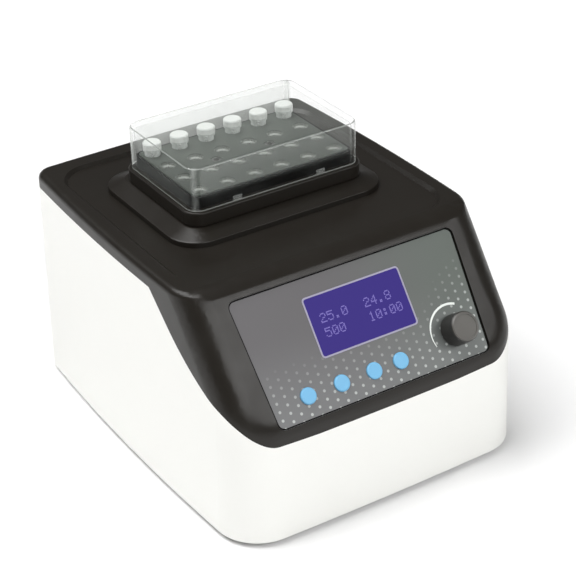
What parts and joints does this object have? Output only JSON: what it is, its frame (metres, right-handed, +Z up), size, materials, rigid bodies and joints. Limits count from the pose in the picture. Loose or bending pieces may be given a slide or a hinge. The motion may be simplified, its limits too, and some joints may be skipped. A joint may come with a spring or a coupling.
{
  "type": "thermal mixer",
  "caption": "Bench heater-shaker for micro-tubes: wedge-fronted case with a sloped control console, an orbiting heated block in a raised collar, and a clear lift-off lid.",
  "frame": {"origin": "on the table under the middle of the body", "axes": "+Z up, console faces -Y, knob on the +X side"},
  "size_m": [0.2306, 0.2839, 0.2048],
  "materials": {
    "housing_white": "satin moulded plastic",
    "cover_black": "matte moulded plastic",
    "panel_grey": "satin printed film",
    "display_blue": "backlit window",
    "display_module": "board and glass",
    "circuit_green": "solder mask",
    "button_blue": "satin",
    "knob_black": "satin",
    "moulded_black": "satin",
    "lid_clear": "clear acrylic",
    "block_anodised": "bead blasted, anodised",
    "tube_clear": "translucent polypropylene",
    "plate_aluminium": "milled",
    "screw_steel": "zinc plated",
    "bearing_steel": "ground",
    "shaft_steel": "ground",
    "motor_can": "powder coat",
    "motor_iron": "laminations",
    "foot_rubber": "matte",
    "pad_silicone": "foam",
    "film_orange": "polyimide film",
    "contact_brass": "plated"
  },
  "bodies": {
    "root": {"housing_shell": "housing_white", "top_cover": "cover_black", "base_plate": "moulded_black", "rubber_feet": "foot_rubber", "base_screws": "screw_steel", "cover_screws": "screw_steel", "console_panel": "panel_grey", "display_window": "display_blue", "display_module": "display_module", "control_board": "circuit_green", "control_board_screws": "screw_steel", "button_switches": "moulded_black", "encoder_body": "plate_aluminium", "encoder_nut": "screw_steel", "power_inlet": "moulded_black", "inlet_screws": "screw_steel", "switch_cell": "moulded_black", "fan_frame": "moulded_black", "fan_screws": "screw_steel", "mount_plate": "plate_aluminium", "mount_pillars": "plate_aluminium", "pillar_screws": "screw_steel", "motor_housing": "motor_can", "motor_screws": "screw_steel", "motor_stator": "motor_iron", "main_bearings": "bearing_steel", "idler_bearings_lower": "bearing_steel", "main_board": "circuit_green", "board_standoffs": "contact_brass", "power_supply": "plate_aluminium"},
    "crank": {"drive_shaft": "shaft_steel", "motor_rotor": "motor_iron", "counterweight": "shaft_steel"},
    "platform": {"platform_plate": "plate_aluminium", "platform_bearing": "bearing_steel", "idler_bearings_upper": "bearing_steel", "insulation_pad": "pad_silicone", "heater_film": "film_orange", "heater_plate": "plate_aluminium", "temperature_sensor": "shaft_steel", "heating_block": "block_anodised", "block_screws": "screw_steel", "block_collar": "cover_black", "sample_tubes": "tube_clear", "tube_caps": "tube_clear"},
    "lid": {"lid": "lid_clear"},
    "knob_plunger": {"encoder_push_rod": "shaft_steel"},
    "knob": {"encoder_shaft": "plate_aluminium", "control_knob": "knob_black"},
    "rocker": {"power_rocker": "knob_black"},
    "fuse_drawer": {"fuse_drawer": "moulded_black"},
    "fan": {"fan_rotor": "moulded_black"},
    "button_1": {"button_1": "button_blue"},
    "idler_1": {"idler_crank_1": "shaft_steel"},
    "button_2": {"button_2": "button_blue"},
    "idler_2": {"idler_crank_2": "shaft_steel"},
    "button_3": {"button_3": "button_blue"},
    "idler_3": {"idler_crank_3": "shaft_steel"},
    "button_4": {"button_4": "button_blue"},
    "idler_4": {"idler_crank_4": "shaft_steel"}
  },
  "joints": [
    {"name": "crank_spin", "type": "hinge", "parent": "root", "child": "crank", "pos_m": [0, 0.0293, 0.1082], "axis": [0, 0, 1], "continuous": true},
    {"name": "platform_orbit", "type": "hinge", "parent": "crank", "child": "platform", "pos_m": [0, 0.0308, 0.1342], "axis": [0, 0, 1], "continuous": true},
    {"name": "lid_lift", "type": "slide", "parent": "platform", "child": "lid", "axis": [0, 0, 1], "range_m": [0, 0.06]},
    {"name": "knob_push", "type": "slide", "parent": "root", "child": "knob_plunger", "axis": [0, 0.7902, -0.6129], "range_m": [0, 0.0005], "stiffness_N_per_m": 2500, "springref_m": -0.0008},
    {"name": "knob_turn", "type": "hinge", "parent": "knob_plunger", "child": "knob", "pos_m": [0.0605, -0.1245, 0.09962], "axis": [0, -0.7902, 0.6129], "continuous": true},
    {"name": "mains_switch", "type": "hinge", "parent": "root", "child": "rocker", "pos_m": [0.02, 0.1362, 0.042], "axis": [1, 0, 0], "range_deg": [0, 16]},
    {"name": "fuse_drawer_slide", "type": "slide", "parent": "root", "child": "fuse_drawer", "axis": [0, 1, 0], "range_m": [0, 0.016]},
    {"name": "fan_spin", "type": "hinge", "parent": "root", "child": "fan", "pos_m": [-0.048, 0.134, 0.084], "axis": [0, 1, 0], "continuous": true},
    {"name": "button_1_press", "type": "slide", "parent": "root", "child": "button_1", "axis": [0, 0.7902, -0.6129], "range_m": [0, 0.0008], "stiffness_N_per_m": 400, "springref_m": -0.0005},
    {"name": "button_2_press", "type": "slide", "parent": "root", "child": "button_2", "axis": [0, 0.7902, -0.6129], "range_m": [0, 0.0008], "stiffness_N_per_m": 400, "springref_m": -0.0005},
    {"name": "button_3_press", "type": "slide", "parent": "root", "child": "button_3", "axis": [0, 0.7902, -0.6129], "range_m": [0, 0.0008], "stiffness_N_per_m": 400, "springref_m": -0.0005},
    {"name": "button_4_press", "type": "slide", "parent": "root", "child": "button_4", "axis": [0, 0.7902, -0.6129], "range_m": [0, 0.0008], "stiffness_N_per_m": 400, "springref_m": -0.0005},
    {"name": "idler_1_spin", "type": "hinge", "parent": "root", "child": "idler_1", "pos_m": [-0.05, -0.0037, 0.1082], "axis": [0, 0, 1], "continuous": true},
    {"name": "idler_2_spin", "type": "hinge", "parent": "root", "child": "idler_2", "pos_m": [-0.05, 0.0623, 0.1082], "axis": [0, 0, 1], "continuous": true},
    {"name": "idler_3_spin", "type": "hinge", "parent": "root", "child": "idler_3", "pos_m": [0.05, -0.0037, 0.1082], "axis": [0, 0, 1], "continuous": true},
    {"name": "idler_4_spin", "type": "hinge", "parent": "root", "child": "idler_4", "pos_m": [0.05, 0.0623, 0.1082], "axis": [0, 0, 1], "continuous": true}
  ],
  "couplings": [
    {"joint": "platform_orbit", "follows": "crank_spin", "ratio": -1},
    {"joint": "idler_1_spin", "follows": "crank_spin", "ratio": 1},
    {"joint": "idler_2_spin", "follows": "crank_spin", "ratio": 1},
    {"joint": "idler_3_spin", "follows": "crank_spin", "ratio": 1},
    {"joint": "idler_4_spin", "follows": "crank_spin", "ratio": 1}
  ]
}
